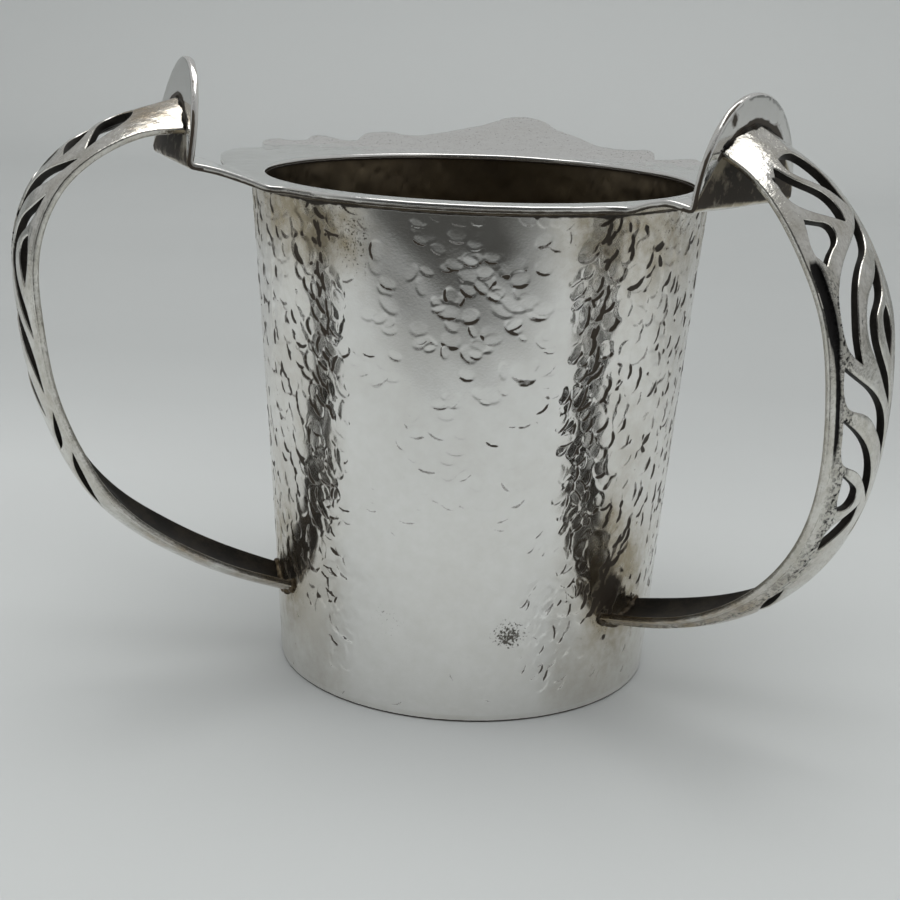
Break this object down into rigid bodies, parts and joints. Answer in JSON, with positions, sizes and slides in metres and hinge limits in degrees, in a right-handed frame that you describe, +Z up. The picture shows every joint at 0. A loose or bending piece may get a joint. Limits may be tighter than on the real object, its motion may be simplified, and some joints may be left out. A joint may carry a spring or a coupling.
{
  "type": "ritual hand-washing cup",
  "caption": "Ritual hand-washing cup in hammered sheet metal: round tapered body, wide rim plate with a scalloped back lip, and pierced arched band handles soldered to folded lugs.",
  "frame": {"origin": "centre of the flat underside of the floor disc, on the axis of the round body", "axes": "+Z up along the axis of the body, +Y towards the tall back lip, +X to the right when the front of the cup is seen"},
  "size_m": [0.1631, 0.1328, 0.1234],
  "materials": {
    "hammered_sheet": "silver-coloured sheet, hammered all over with small round marks, worn and slightly tarnished",
    "rim_sheet": "silver-coloured sheet, softly hammered, smoother on the ears and lugs",
    "cast_band": "cast silver-coloured metal with bright worn edges and dark oxide in the hollows",
    "solder": "yellow-brown solder seam, uneven and dull"
  },
  "bodies": {
    "root": {"cup_wall": "hammered_sheet", "cup_floor": "hammered_sheet", "rim_plate": "rim_sheet", "left_handle": "cast_band", "right_handle": "cast_band", "rim_solder": "solder", "floor_solder": "solder", "left_head_solder": "solder", "right_head_solder": "solder", "left_foot_solder": "solder", "right_foot_solder": "solder"}
  },
  "joints": []
}
